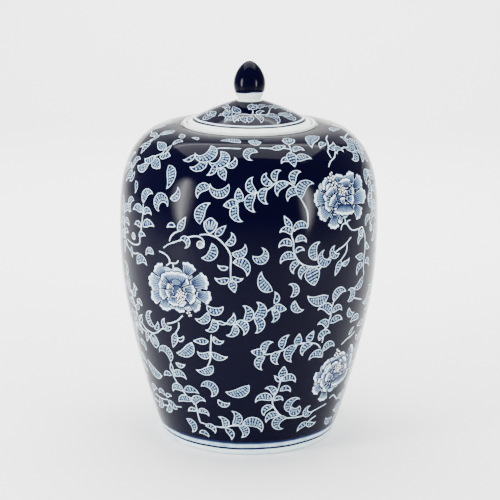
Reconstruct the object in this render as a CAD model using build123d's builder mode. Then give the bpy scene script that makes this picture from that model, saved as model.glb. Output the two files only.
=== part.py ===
from build123d import *
import os

# Lidded ginger jar in glazed, slip-cast stoneware: a hollow melon-shaped body, a low domed lid that drops
# into a stepped rim, and a hollow bud-shaped finial luted to the crown of the lid.
# Millimetres, +Z up. The origin is the centre of the foot ring, on the surface that the jar stands on.
# Every section is drawn in the XZ plane as (radius, height) and turned about the Z axis.

os.makedirs("parts", exist_ok=True)

# Jar body
total_height = 321.4
wall = 5.5
belly_radius = 109.4
foot_outer_radius = 75.2
foot_inner_radius = 62.0
foot_bevel = 4.0            # height and width of the rolled outer edge of the foot
recess_depth = 5.0          # hollow under the base, inside the foot ring
base_thickness = 6.5
shoulder_height = 268.0     # where the shoulder meets the rim

# Rim and mouth
mouth_radius = 46.0
rim_inner_radius = 53.3
rim_outer_radius = 55.6
rim_side_height = 269.6     # where the upright side of the rim bead starts to round over
rim_height = 270.7          # top of the rounded rim bead
seat_height = 267.6         # bare ledge inside the rim that carries the lid
ledge_underside = 262.0

# Lid
flange_radius = 51.9
flange_top = 270.8          # where the dome ends and the flange's edge rounds over
flange_round = 1.2
crown_pad_radius = 10.6     # flat pad that the finial is luted to
crown_height = 288.4
dome_mid = (31.0, 281.2)    # point on the dome halfway out
lid_wall = 5.0
collar_radius = 44.2
collar_wall = 4.2
collar_depth = 12.0
hollow_height = 271.2       # where the hollow underside meets the collar
vent_radius = 2.5
collar_inner_radius = collar_radius - collar_wall

# Finial
bud_radius = 13.4
bud_height = 302.4          # height of its widest ring
waist_radius = 9.7
waist_height = 290.4
finial_base_radius = 10.4
finial_wall = 3.2

# Outside of the body from the rolled foot edge to the rim, as (radius, height).
body_outline = [
    (foot_outer_radius, foot_bevel),
    (93.3, 65.0),
    (107.1, 135.0),
    (belly_radius, 192.0),
    (104.6, 232.0),
    (93.7, 253.4),
    (78.8, 265.1),
    (rim_outer_radius, shoulder_height),
]
foot_lean = (0.38, 1.0)     # direction in which the side leaves the foot
shoulder_lean = (-1.0, 0.0) # direction in which the shoulder runs in to the rim
inner_stations = 10         # points that carry the outside curve over to the inside
inner_floor = recess_depth + base_thickness


def inward(curve, share, depth):
    """The point `depth` inside the curve, at that share of its length."""
    along = curve % share
    return curve @ share + Vector(-along.Y, along.X) * depth


def quarter_oval(radius, low, high):
    """Control points of a quarter oval that rises from (radius, low) to (0, high)."""
    fullness = 0.46
    return [
        (radius, low),
        (radius, low + fullness * (high - low)),
        (fullness * radius, high),
        (0, high),
    ]


with BuildPart() as jar_body:
    with BuildSketch(Plane.XZ):
        with BuildLine():
            side = Spline(*body_outline, tangents=(foot_lean, shoulder_lean))
            Line((rim_outer_radius, shoulder_height), (rim_outer_radius, rim_side_height))
            bead = ThreePointArc(
                (rim_outer_radius, rim_side_height),
                ((rim_outer_radius + rim_inner_radius) / 2, rim_height),
                (rim_inner_radius, rim_side_height),
            )
            Polyline(
                bead @ 1,
                (rim_inner_radius, seat_height),
                (mouth_radius, seat_height),
                (mouth_radius, ledge_underside),
            )
            first, last = 0.055, 0.985
            shares = [first + (last - first) * i / inner_stations for i in range(inner_stations + 1)]
            inside = Spline(*[inward(side, share, wall) for share in reversed(shares)])
            Line((mouth_radius, ledge_underside), inside @ 0)
            Polyline(
                inside @ 1,
                (inside.end_point().X - wall, inner_floor),
                (0, inner_floor),
                (0, recess_depth),
                (foot_inner_radius - recess_depth, recess_depth),
                (foot_inner_radius, 0),
                (foot_outer_radius - foot_bevel, 0),
            )
            RadiusArc(
                (foot_outer_radius - foot_bevel, 0),
                (foot_outer_radius, foot_bevel),
                -1.2 * foot_bevel,
            )
        make_face()
    revolve(axis=Axis.Z)
    mouth_edges = jar_body.edges().filter_by(GeomType.CIRCLE).filter_by(
        lambda e: abs(e.radius - mouth_radius) < 0.01
    )
    fillet(mouth_edges, radius=1.2)
jar_body.part.label = "jar_body"
export_step(jar_body.part, "parts/jar_body.step")


with BuildPart() as lid:
    with BuildSketch(Plane.XZ):
        with BuildLine():
            dome = ThreePointArc(
                (crown_pad_radius, crown_height),
                dome_mid,
                (flange_radius - flange_round, flange_top),
            )
            Line((vent_radius, crown_height), dome @ 0)
            edge_round = TangentArc(
                dome @ 1,
                (flange_radius, flange_top - flange_round),
                tangent=dome % 1,
            )
            Polyline(
                edge_round @ 1,
                (flange_radius, seat_height),
                (collar_radius, seat_height),
                (collar_radius, seat_height - collar_depth),
                (collar_inner_radius, seat_height - collar_depth),
                (collar_inner_radius, hollow_height),
            )
            ThreePointArc(
                (collar_inner_radius, hollow_height),
                inward(dome, 0.45, -lid_wall),
                (vent_radius, crown_height - lid_wall),
            )
            Line((vent_radius, crown_height - lid_wall), (vent_radius, crown_height))
        make_face()
    revolve(axis=Axis.Z)
    collar_edges = lid.edges().filter_by(GeomType.CIRCLE).filter_by(
        lambda e: abs(e.center().Z - (seat_height - collar_depth)) < 0.01
    )
    fillet(collar_edges, radius=1.4)
lid.part.label = "lid"
export_step(lid.part, "parts/lid.step")


with BuildPart() as lid_finial:
    with BuildSketch(Plane.XZ):
        with BuildLine():
            Bezier(*quarter_oval(bud_radius, bud_height, total_height))
            flank = TangentArc((bud_radius, bud_height), (waist_radius, waist_height), tangent=(0, -1))
            TangentArc(flank @ 1, (finial_base_radius, crown_height), tangent=flank % 1)
            Polyline((finial_base_radius, crown_height), (0, crown_height), (0, total_height))
        make_face()
    revolve(axis=Axis.Z)
    with BuildSketch(Plane.XZ):
        with BuildLine():
            Bezier(*quarter_oval(bud_radius - finial_wall, bud_height, total_height - finial_wall))
            TangentArc(
                (bud_radius - finial_wall, bud_height),
                (vent_radius, waist_height),
                tangent=(0, -1),
            )
            Polyline(
                (vent_radius, waist_height),
                (vent_radius, crown_height),
                (0, crown_height),
                (0, total_height - finial_wall),
            )
        make_face()
    revolve(axis=Axis.Z, mode=Mode.SUBTRACT)
lid_finial.part.label = "lid_finial"
export_step(lid_finial.part, "parts/lid_finial.step")
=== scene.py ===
"""Ginger jar: glazed ceramic with a painted peony and leaf scroll, a domed lid and a bud finial.

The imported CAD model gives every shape. Each glazed piece is turned again from its CAD section and
the brush work is laid on it as flat areas of colour with crisp edges, cut into the surface itself.
Painting is placed by angle round the jar (degrees, 0 at the front, positive to the right) and by
distance up the wall from the foot (mm, measured along the surface).
"""
import math
import random

import bmesh
import bpy
import numpy as np
from mathutils import Matrix, Vector
from mathutils.geometry import delaunay_2d_cdt


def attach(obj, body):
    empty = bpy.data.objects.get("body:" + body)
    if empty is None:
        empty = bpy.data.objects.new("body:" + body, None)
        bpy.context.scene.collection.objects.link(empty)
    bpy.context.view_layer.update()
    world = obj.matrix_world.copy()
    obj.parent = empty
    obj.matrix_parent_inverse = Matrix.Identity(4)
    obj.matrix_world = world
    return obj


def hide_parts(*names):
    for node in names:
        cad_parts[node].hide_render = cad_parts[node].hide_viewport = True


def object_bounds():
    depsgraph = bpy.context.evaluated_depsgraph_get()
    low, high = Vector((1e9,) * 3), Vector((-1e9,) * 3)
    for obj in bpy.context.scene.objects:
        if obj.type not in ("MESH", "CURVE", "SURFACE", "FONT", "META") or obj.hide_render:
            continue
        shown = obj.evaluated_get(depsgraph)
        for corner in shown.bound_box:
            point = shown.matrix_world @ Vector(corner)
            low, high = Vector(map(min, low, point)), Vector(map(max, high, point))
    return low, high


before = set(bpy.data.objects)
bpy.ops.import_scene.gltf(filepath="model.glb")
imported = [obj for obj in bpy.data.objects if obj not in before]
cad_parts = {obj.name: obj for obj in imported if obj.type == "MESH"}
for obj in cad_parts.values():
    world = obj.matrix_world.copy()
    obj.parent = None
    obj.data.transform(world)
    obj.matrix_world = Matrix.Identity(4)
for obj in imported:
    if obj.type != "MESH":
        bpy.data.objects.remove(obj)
cad_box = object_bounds()

MM = 0.001
TURN = 2 * math.pi
COLUMNS = 360                # points in every ring of a turned piece
RIM_BEAD_RADIUS = 55.6       # mm, where the shoulder meets the rounded rim
SEAT_HEIGHT = 267.6          # mm, bare seat in the rim, which carries the flange of the lid
SEAT_INNER_RADIUS = 46.0     # mm, mouth of the jar and inner edge of the bare seat
CROWN_HEIGHT = 288.4         # mm, flat top of the lid, which carries the finial
GLAZE_LINE_HEIGHT = 296.0    # mm, just below the edge of the finial's dark glaze
CAVITY_RADIUS = 10.9         # mm, more than the finial's cavity has anywhere
NEAR = 0.01                  # mm, how near a section point counts as at a height or radius
ON_PLANE = 1e-5              # m, how near the cutting plane the CAD vertices of a section lie
MERGE = 2e-6                 # m, points closer than this become one
SLIVER = 1e-6                # m, edges shorter than this are closed up
CORNER_TURN = math.radians(25)
CORNER_ROW = 0.3             # mm, row beside a sharp corner that keeps its shading tight
ROW_GAP = 0.02               # mm, rows closer than this become one
BAND_ROW_GAP = 0.05          # mm, the same within painted bands
GRID = 2.8                   # mm, spacing of the plain surface points between strokes
TABLE_ROWS = 4000            # rows of the table between distances and heights on the map
SPOT_MARGIN = 0.4            # mm, how near a motif's points may come to the ends of its field
MAP_EDGE = 1e-3              # strip of the map next to the two rings that strokes keep out of
MAP_SNAP = 1e-6              # map distance within which points of the cut become one

# Depth of cobalt: 0 is the bare white body under the clear glaze, 1 is the full dark ground.
WHITE = 0.0
PETAL_WHITE = 0.075          # pale edge of a petal
LINE = 0.12                  # stems, and the thin lines round the leaves
RIB = 0.21
PETAL_PALE = 0.23            # end of a petal's wash
PALE_CELL = 0.29             # every other cell of a leaf
HEART = 0.45                 # middle of a peony
PETAL_WASH = 0.62
DEEP = 0.68
PETAL_LINES = 0.76
LEAF_WASH = 0.80
OUTLINE_BLUE = 0.84
PETAL_RIM = 0.88
GROUND = 1.0

OUTLINE = 0.72               # mm, pale line round a leaf
STEM = 1.1                   # mm
STEM_TAPER = 0.7             # width at the ends of a stem, as a share of its middle
STEM_WAVER = 0.1             # share by which the brush presses harder and softer along a stem
ROUND_END = 0.8              # how far a stroke's end reaches, as a share of its half width
LEAST_RISE = 0.01            # flattest arc, as a share of its chord
STEP = 1.3                   # mm between points along a curve
CELL_WIDTH = 1.35            # mm, one pale cell between two veins of a leaf
CELL_PITCH = 2.25            # mm
CELL_LEAN = 0.05             # slant of the cells, as a share of the leaf's length
VEIN = 0.6                   # mm of dark wash left between the cells and the outline
BROAD_LEAF = 5.2             # mm of wash across, above which the cells are in two rows
SPRIG_STEP = 6.5             # mm between the leaves of a sprig
SPRIG_LEAF = 10.0            # mm
SPRIG_AHEAD = 0.45           # how far a sprig's leaf reaches along the stem, as a share of its size
SPRIG_ASIDE = 0.9            # and away from the stem
SPRIG_ROOT = 0.4             # mm from the stem to the leaf
SPRIG_SIZES = (1.1, 0.95, 0.8)


# ---------------------------------------------------------------- turned sections

def meridian(node):
    """Section of a turned CAD node at y = 0, x > 0: ordered (radius, height) points in mm."""
    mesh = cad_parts[node].data
    place = {}
    for vertex in mesh.vertices:
        if abs(vertex.co.y) < ON_PLANE and vertex.co.x > -ON_PLANE:
            place[vertex.index] = (round(vertex.co.x / MM, 3), round(vertex.co.z / MM, 3))
    joined = {}
    for edge in mesh.edges:
        a, b = (place.get(i) for i in edge.vertices)
        if a and b and a != b:
            joined.setdefault(a, set()).add(b)
            joined.setdefault(b, set()).add(a)
    ends = sorted(point for point, others in joined.items() if len(others) == 1)
    start = ends[0] if ends else min(joined, key=lambda point: (-point[0], point[1]))
    line = [start]
    seen = {start}
    while True:
        onward = sorted(point for point in joined[line[-1]] if point not in seen)
        if not onward:
            break
        line.append(onward[0])
        seen.add(onward[0])
    line = np.array(line)
    if not ends:
        line = np.vstack([line, line[:1]])
    area = np.sum(line[:-1, 0] * line[1:, 1] - line[1:, 0] * line[:-1, 1])
    return line if area > 0 else line[::-1]


class Section:
    """A smooth curve through section points, with the solid on its left."""

    def __init__(self, points):
        self.points = points
        steps = np.diff(points, axis=0)
        self.length = np.hypot(steps[:, 0], steps[:, 1])
        self.at = np.concatenate([[0.0], np.cumsum(self.length)])
        way = steps / self.length[:, None]
        closed = np.allclose(points[0], points[-1])
        before = np.vstack([way[-1:] if closed else way[:1], way])
        after = np.vstack([way, way[:1] if closed else way[-1:]])
        reach = np.concatenate([self.length[-1:] if closed else self.length[:1], self.length])
        onward = np.concatenate([self.length, self.length[:1] if closed else self.length[-1:]])
        blend = before * onward[:, None] + after * reach[:, None]
        blend /= np.linalg.norm(blend, axis=1)[:, None]
        turn = np.arccos(np.clip(np.sum(before * after, axis=1), -1, 1))
        self.corner = turn > CORNER_TURN
        self.into = np.where(self.corner[:, None], before, blend)
        self.out = np.where(self.corner[:, None], after, blend)
        self.blend = blend

    def sample(self, s):
        """Points and outward normals (radius, height) at distances s along the curve."""
        s = np.clip(np.asarray(s, float), 0, self.at[-1])
        i = np.clip(np.searchsorted(self.at, s, side="right") - 1, 0, len(self.length) - 1)
        size = self.length[i][..., None]
        t = ((s - self.at[i]) / self.length[i])[..., None]
        a, b = self.points[i], self.points[i + 1]
        u, v = self.out[i] * size, self.into[i + 1] * size
        place = (a * (2 * t**3 - 3 * t**2 + 1) + u * (t**3 - 2 * t**2 + t)
                 + b * (3 * t**2 - 2 * t**3) + v * (t**3 - t**2))
        way = (a * (6 * t**2 - 6 * t) + u * (3 * t**2 - 4 * t + 1)
               + b * (6 * t - 6 * t**2) + v * (3 * t**2 - 2 * t))
        way /= np.linalg.norm(way, axis=-1)[..., None]
        for index, near in ((i, s - self.at[i]), (i + 1, self.at[i + 1] - s)):
            at_corner = (np.abs(near) < 1e-4) & self.corner[index]
            way = np.where(at_corner[..., None], self.blend[index], way)
        return place, np.stack([way[..., 1], -way[..., 0]], axis=-1)

    def rows(self, low, high):
        """Distances of the rows needed between low and high, the two ends included."""
        found = [low, high]
        for s, corner in zip(self.at, self.corner):
            found.append(s)
            if corner:
                found += [s - CORNER_ROW, s + CORNER_ROW]
        found = sorted(s for s in found if low <= s <= high)
        kept = [found[0]]
        for s in found[1:]:
            if s - kept[-1] > ROW_GAP:
                kept.append(s)
        kept[-1] = high
        return np.array(kept)

    def where(self, test):
        """Distance of the first section point that passes the test."""
        return next(s for s, point in zip(self.at, self.points) if test(*point))


class Shell:
    """Gathers the rings and painted fields of one turned piece, then makes its mesh."""

    def __init__(self, section):
        self.section = section
        self.places = []
        self.normals = []
        self.faces = []
        self.tones = []
        self.count = 0

    def turned(self, angle, s):
        """Places in metres and outward normals at angles round the axis and distances s."""
        place, normal = self.section.sample(s)
        across, ahead = np.sin(angle), -np.cos(angle)
        spot = np.stack([place[..., 0] * across, place[..., 0] * ahead, place[..., 1]], axis=-1)
        facing = np.stack([normal[..., 0] * across, normal[..., 0] * ahead, normal[..., 1]], axis=-1)
        return spot * MM, facing

    def strip(self, s_rows, tones, waves=()):
        """Rings at s_rows. tones holds (cobalt, clay) per row; waves shift the inner rows."""
        angle = -math.pi + TURN * np.arange(COLUMNS) / COLUMNS
        shift = sum(mm * np.sin(count * angle + phase) for mm, count, phase in waves)
        s = np.repeat(np.asarray(s_rows, float)[:, None], COLUMNS, axis=1)
        s[1:-1] += shift
        spot, facing = self.turned(np.broadcast_to(angle, s.shape), s)
        tone = np.repeat(np.asarray(tones, float)[:, None, :], COLUMNS, axis=1).reshape(-1, 2)
        base = self.count
        for row in range(len(s_rows) - 1):
            for k in range(COLUMNS):
                a = row * COLUMNS + k
                b = row * COLUMNS + (k + 1) % COLUMNS
                face = (a, b, b + COLUMNS, a + COLUMNS)
                self.faces.append(tuple(base + i for i in face))
                self.tones.append(tone[list(face)])
        self.places.append(spot.reshape(-1, 3))
        self.normals.append(facing.reshape(-1, 3))
        self.count += s.size

    def plain(self, low, high, cobalt, clay=0.0):
        """An unpainted stretch between distances low and high."""
        rows = self.section.rows(low, high)
        self.strip(rows, [(cobalt, clay)] * len(rows))

    def field(self, painting):
        """A painted stretch, cut along the outlines of its painting."""
        angle, s, triangles, cobalt = painting.cut()
        spot, facing = self.turned(angle, s)
        self.places.append(spot)
        self.normals.append(facing)
        self.faces += [tuple(int(self.count + i) for i in t) for t in triangles]
        tones = np.stack([cobalt, np.zeros_like(cobalt)], axis=-1)
        self.tones += list(tones)
        self.count += len(spot)

    def build(self, name):
        """The mesh object, with the tones in its "paint" attribute and its own normals."""
        mesh = bpy.data.meshes.new(name)
        mesh.from_pydata(np.concatenate(self.places).tolist(), [], self.faces)
        tone = np.concatenate(self.tones)
        colour = np.zeros((len(tone), 4), np.float32)
        colour[:, :2] = tone
        colour[:, 3] = 1
        layer = mesh.attributes.new("paint", "FLOAT_COLOR", "CORNER")
        layer.data.foreach_set("color", colour.ravel())
        facing = mesh.attributes.new("facing", "FLOAT_VECTOR", "POINT")
        facing.data.foreach_set("vector", np.concatenate(self.normals).astype(np.float32).ravel())
        work = bmesh.new()
        work.from_mesh(mesh)
        bmesh.ops.remove_doubles(work, verts=work.verts, dist=MERGE)
        bmesh.ops.dissolve_degenerate(work, edges=work.edges, dist=SLIVER)
        work.to_mesh(mesh)
        work.free()
        for face in mesh.polygons:
            face.use_smooth = True
        normals = np.zeros(len(mesh.vertices) * 3, np.float32)
        mesh.attributes["facing"].data.foreach_get("vector", normals)
        mesh.attributes.remove(mesh.attributes["facing"])
        mesh.normals_split_custom_set_from_vertices(normals.reshape(-1, 3).tolist())
        mesh.validate()
        piece = bpy.data.objects.new(name, mesh)
        bpy.context.scene.collection.objects.link(piece)
        return piece


# ---------------------------------------------------------------- brush work

class Painting:
    """Flat areas of colour on a turned surface, drawn on its angle-keeping map, later on top."""

    def __init__(self, section, origin, low, high, brush=1.0):
        self.section = section
        self.origin = origin
        self.low = low
        self.high = high
        self.s_table = np.linspace(low, high, TABLE_ROWS)
        radius = section.sample(self.s_table)[0][:, 0]
        middle = (radius[1:] + radius[:-1]) / 2
        self.q_table = np.concatenate([[0.0], np.cumsum(np.diff(self.s_table) / middle)])
        self.radius = radius
        self.brush = brush
        self.areas = []
        self.stems = np.zeros((0, 2))

    def spot(self, degrees, up):
        """Map point for an angle in degrees and a distance up from the origin in mm."""
        s = np.clip(self.origin + up, self.low + SPOT_MARGIN, self.high - SPOT_MARGIN)
        return np.array([math.radians(degrees), np.interp(s, self.s_table, self.q_table)])

    def spots(self, points):
        """Map points for a list of (degrees, mm up)."""
        return np.array([self.spot(degrees, up) for degrees, up in points])

    def unit(self, q):
        """Map length of 1 mm at height q on the map."""
        return 1 / np.interp(q, self.q_table, self.radius)

    def stem_distance(self, spot):
        """Map distance from a spot to the nearest stem."""
        return np.linalg.norm(self.stems - spot, axis=1).min() if len(self.stems) else 0.0

    def area(self, points, tone, end_tone=None, start=None, end=None):
        """A filled shape of one tone, or one that runs from tone at start to end_tone at end."""
        points = np.array(points)
        points[:, 1] = np.clip(points[:, 1], MAP_EDGE, self.q_table[-1] - MAP_EDGE)
        for turn in (-TURN, 0.0, TURN):
            moved = points + (turn, 0)
            if moved[:, 0].max() < -math.pi or moved[:, 0].min() > math.pi:
                continue
            if end_tone is None:
                self.areas.append((moved, tone, tone, None, None))
            else:
                self.areas.append((moved, tone, end_tone, start + (turn, 0), end + (turn, 0)))

    def edge_points(self):
        """The two rings and the seam at the back, which every other part is cut against."""
        angle = -math.pi + TURN * np.arange(COLUMNS + 1) / COLUMNS
        top = self.q_table[-1]
        count = max(2, int((self.high - self.low) / GRID))
        seam = np.interp(np.linspace(self.low, self.high, count), self.s_table, self.q_table)
        lines = [np.stack([angle, np.zeros_like(angle)], axis=1)]
        lines.append(np.stack([angle, np.full_like(angle, top)], axis=1))
        lines.append(np.stack([np.full_like(seam, -math.pi), seam], axis=1))
        lines.append(np.stack([np.full_like(seam, math.pi), seam], axis=1))
        return lines

    def plain_points(self):
        """Evenly spread points that keep the triangles between strokes small."""
        found = []
        rise = GRID * math.sqrt(3) / 2
        rows = int((self.high - self.low) / rise)
        for row in range(1, rows):
            s = self.low + (self.high - self.low) * row / rows
            q = np.interp(s, self.s_table, self.q_table)
            around = int(TURN * np.interp(s, self.s_table, self.radius) / GRID)
            stagger = 0.25 + 0.5 * (row % 2)
            angle = -math.pi + TURN * (np.arange(around) + stagger) / around
            found.append(np.stack([angle, np.full_like(angle, q)], axis=1))
        return np.concatenate(found)

    def cut(self):
        """Cuts the map along every outline; gives angles, distances, triangles and corner tones."""
        points = []
        edges = []
        total = 0
        for line in self.edge_points():
            points.append(line)
            edges += [(total + i, total + i + 1) for i in range(len(line) - 1)]
            total += len(line)
        for outline, *_ in self.areas:
            count = len(outline)
            points.append(outline)
            edges += [(total + i, total + (i + 1) % count) for i in range(count)]
            total += count
        points.append(self.plain_points())
        flat = [Vector(p) for p in np.concatenate(points).tolist()]
        result = delaunay_2d_cdt(flat, edges, [], 0, MAP_SNAP, False)
        spots = np.array([tuple(v) for v in result[0]])
        triangles = np.array([tuple(f) for f in result[2]])
        centre = spots[triangles].mean(axis=1)
        inside = np.abs(centre[:, 0]) < math.pi
        inside &= (centre[:, 1] > 0) & (centre[:, 1] < self.q_table[-1])
        triangles = triangles[inside]
        centre = centre[inside]
        cobalt = self.tone_of(spots, triangles, centre)
        used, index = np.unique(triangles, return_inverse=True)
        spots = spots[used]
        s = np.interp(spots[:, 1], self.q_table, self.s_table)
        return spots[:, 0], s, index.reshape(-1, 3), cobalt

    def tone_of(self, spots, triangles, centre):
        """Depth of cobalt at the three corners of each triangle, from the topmost area over it."""
        order = np.argsort(centre[:, 0])
        sorted_x = centre[order, 0]
        top = np.full(len(triangles), -1)
        for number, (outline, *_) in enumerate(self.areas):
            low, high = outline.min(axis=0), outline.max(axis=0)
            first, last = np.searchsorted(sorted_x, (low[0], high[0]))
            near = order[first:last]
            y = centre[near, 1]
            near = near[(y > low[1]) & (y < high[1])]
            if len(near):
                top[near[winding(outline, centre[near]) != 0]] = number
        cobalt = np.full(triangles.shape, GROUND)
        order = np.argsort(top, kind="stable")
        bounds = np.searchsorted(top[order], np.arange(len(self.areas) + 1))
        for number, (_, tone, end_tone, start, end) in enumerate(self.areas):
            mine = order[bounds[number]:bounds[number + 1]]
            if not len(mine):
                continue
            if start is None:
                cobalt[mine] = tone
                continue
            way = end - start
            share = (spots[triangles[mine]] - start) @ way / max(way @ way, 1e-12)
            cobalt[mine] = tone + (end_tone - tone) * np.clip(share, 0, 1)
        return cobalt


def winding(outline, spots):
    """How many times the outline goes round each spot."""
    a = outline[None, :, :] - spots[:, None, :]
    b = np.roll(outline, -1, axis=0)[None, :, :] - spots[:, None, :]
    side = a[..., 0] * b[..., 1] - a[..., 1] * b[..., 0]
    upward = (a[..., 1] <= 0) & (b[..., 1] > 0) & (side > 0)
    downward = (a[..., 1] > 0) & (b[..., 1] <= 0) & (side < 0)
    return upward.sum(axis=1) - downward.sum(axis=1)


def direction(way):
    return way / np.linalg.norm(way)


def left_of(way):
    return np.array([-way[1], way[0]])


def lengths(line):
    """Distance from each point of a line to the next."""
    return np.linalg.norm(np.diff(line, axis=0), axis=1)


def oval(half_width, half_height, count):
    """Points round an oval about (0, 0)."""
    turn = TURN * np.arange(count) / count
    return np.stack([np.cos(turn) * half_width, np.sin(turn) * half_height], axis=1)


def arc(a, b, rise, step):
    """The arc from a to b that bows to the left by rise times its chord."""
    chord = np.linalg.norm(b - a)
    along = (b - a) / chord
    left = left_of(along) * (1 if rise >= 0 else -1)
    height = max(abs(rise), LEAST_RISE) * chord
    radius = (chord**2 / 4 + height**2) / (2 * height)
    half = math.atan2(chord / 2, radius - height)
    count = max(4, int(2 * half * radius / step) + 1)
    centre = (a + b) / 2 + left * (height - radius)
    t = np.linspace(-half, half, count)[:, None]
    return centre + radius * (np.cos(t) * left + np.sin(t) * along)


def even(line, count):
    """The same line with count points evenly spaced."""
    reach = np.concatenate([[0.0], np.cumsum(lengths(line))])
    at = np.linspace(0, reach[-1], count)
    return np.stack([np.interp(at, reach, line[:, k]) for k in (0, 1)], axis=1)


def smooth(points, step):
    """A curve through all the points (Catmull-Rom)."""
    ends = [2 * points[0] - points[1], *points, 2 * points[-1] - points[-2]]
    found = []
    for before, a, b, after in zip(ends, ends[1:], ends[2:], ends[3:]):
        count = max(2, int(np.linalg.norm(b - a) / step))
        t = (np.arange(count) / count)[:, None]
        found.append(0.5 * (2 * a + (b - before) * t + (2 * before - 5 * a + 4 * b - after) * t**2
                            + (3 * a - before - 3 * b + after) * t**3))
    return np.vstack(found + [points[-1:]])


def ribbon(line, widths):
    """Outline of a brush stroke along a line, with a width at each point and round ends."""
    way = np.gradient(line, axis=0)
    way /= np.maximum(np.linalg.norm(way, axis=1), 1e-12)[:, None]
    side = np.stack([-way[:, 1], way[:, 0]], axis=1)
    half = np.asarray(widths)[:, None] / 2
    start = line[:1] - way[:1] * half[:1] * ROUND_END
    end = line[-1:] + way[-1:] * half[-1:] * ROUND_END
    return np.vstack([start, line - side * half, end, (line + side * half)[::-1]])


def stroke(painting, points):
    """A stem: one brush stroke through points given as (degrees, mm)."""
    spots = painting.spots(points)
    unit = painting.unit(spots[:, 1].mean())
    line = smooth(spots, 2.0 * unit)
    painting.stems = np.vstack([painting.stems, line])
    t = np.linspace(-1, 1, len(line))
    press = STEM_TAPER + (1 - STEM_TAPER) * (1 - t**2)
    press = press * (1 + STEM_WAVER * np.sin(np.arange(len(line)) * 1.7))
    painting.area(ribbon(line, STEM * painting.brush * unit * press), LINE)


# Rise of the outer and the inner edge of each leaf, as a share of the distance between its tips,
# both to the left of the way from the first tip to the second.
LEAF_EDGES = {
    "C": (0.63, 0.13),       # crescent
    "F": (1.05, 0.42),       # fat horseshoe
    "M": (0.44, 0.00),       # half moon
    "L": (0.20, -0.20),      # lance
    "W": (0.30, -0.30),      # wide lance
}
LEAF_HEEL = 0.36             # how much fuller a leaf is at its stem end than in the middle
HEEL_REACH = 4.0             # mm by which one tip must be nearer to a stem for the whole heel
LEAST_WASH = 2.6             # a leaf is washed where it is more than this many outlines wide


def leaf(painting, kind, degrees, up, end_degrees, end_up, outer_rise=None):
    """A leaf between two tips given as (degrees, mm up)."""
    a, b = painting.spots([(degrees, up), (end_degrees, end_up)])
    leaf_between(painting, kind, a, b, outer_rise)


def leaf_between(painting, kind, a, b, outer_rise=None):
    """A leaf between two tips, fuller next to a stem: pale line, dark wash and pale cells."""
    outer_share, inner_share = LEAF_EDGES[kind]
    if outer_rise:
        inner_share *= outer_rise / outer_share
        outer_share = outer_rise
    unit = painting.unit((a[1] + b[1]) / 2)
    outer = arc(a, b, outer_share, STEP * unit)
    inner = arc(a, b, inner_share, STEP * unit)
    count = max(len(outer), len(inner), 11)
    outer, inner = even(outer, count), even(inner, count)
    heel = painting.stem_distance(b) - painting.stem_distance(a)
    heel = np.clip(heel / (HEEL_REACH * unit), -1, 1) * LEAF_HEEL
    middle = (outer + inner) / 2
    swell = 1 + heel * np.cos(np.linspace(0, math.pi, count))[:, None]
    outer = middle + (outer - middle) * swell
    inner = middle + (inner - middle) * swell
    painting.area(np.vstack([outer, inner[-2:0:-1]]), LINE)
    across = inner - outer
    gap = np.linalg.norm(across, axis=1)
    across /= np.maximum(gap, 1e-9)[:, None]
    line = OUTLINE * painting.brush * unit
    wide = np.nonzero(gap > LEAST_WASH * line)[0]
    if len(wide) < 3:
        return
    washed_outer = (outer + across * line)[wide]
    washed_inner = (inner - across * line)[wide]
    painting.area(np.vstack([washed_outer, washed_inner[::-1]]), LEAF_WASH)
    cells(painting, washed_outer, washed_inner, unit)


def cells(painting, outer, inner, unit):
    """Pale cells side by side across a washed leaf, in two rows where the leaf is broad."""
    middle = (outer + inner) / 2
    cell = CELL_WIDTH * painting.brush * unit
    length = lengths(middle).sum() / unit
    count = max(1, int(length / CELL_PITCH + 0.3))
    for k in range(count):
        at = (len(outer) - 1) * (k + 0.5) / count
        i = min(int(at), len(outer) - 2)
        top = outer[i] + (outer[i + 1] - outer[i]) * (at - i)
        bottom = inner[i] + (inner[i + 1] - inner[i]) * (at - i)
        lean = (outer[-1] - outer[0]) * CELL_LEAN
        width = np.linalg.norm(bottom - top) / unit
        if width < 2.0 * VEIN + CELL_WIDTH:
            continue
        edge = (VEIN + 0.4 * CELL_WIDTH) / width
        pieces = [(edge, 1 - edge)]
        if width > BROAD_LEAF:
            pieces = [(edge, 0.5 - 0.3 * edge), (0.5 + 0.7 * edge, 1 - edge)]
        for first, last in pieces:
            row = np.array([top + (bottom - top) * t + lean * (2 * t - 1) for t in (first, last)])
            painting.area(ribbon(row, np.array([1.0, 0.8]) * cell), PALE_CELL if k % 2 else RIB)


def sprig(painting, points):
    """A stem with crescent leaves on either side in turn and one at its tip."""
    stroke(painting, points)
    spots = painting.spots(points)
    unit = painting.unit(spots[:, 1].mean())
    line = smooth(spots, unit)
    length = lengths(line).sum() / unit
    count = int(length / SPRIG_STEP)
    line = even(line, count + 2)
    for k in range(1, count + 1):
        along = direction(line[k + 1] - line[k - 1])
        side = left_of(along) * (1 if k % 2 else -1)
        size = SPRIG_LEAF * unit * SPRIG_SIZES[k % 3]
        tip = line[k] + (along * SPRIG_AHEAD + side * SPRIG_ASIDE) * size
        root = line[k] + side * SPRIG_ROOT * unit
        ends = (root, tip) if k % 2 else (tip, root)
        leaf_between(painting, "C", *ends)
    along = direction(line[-1] - line[-2])
    leaf_between(painting, "W", line[-1], line[-1] + along * SPRIG_LEAF * unit)


FAN_BOW = -0.16              # rise of the two sides of a fan leaf
FAN_RIBS = (0.12, 0.37, 0.63, 0.88)
FAN_RIB_START = 0.4          # where a rib begins, as a share of the way from the base
FAN_RIB_WIDTH = 0.7          # mm, at its base


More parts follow.
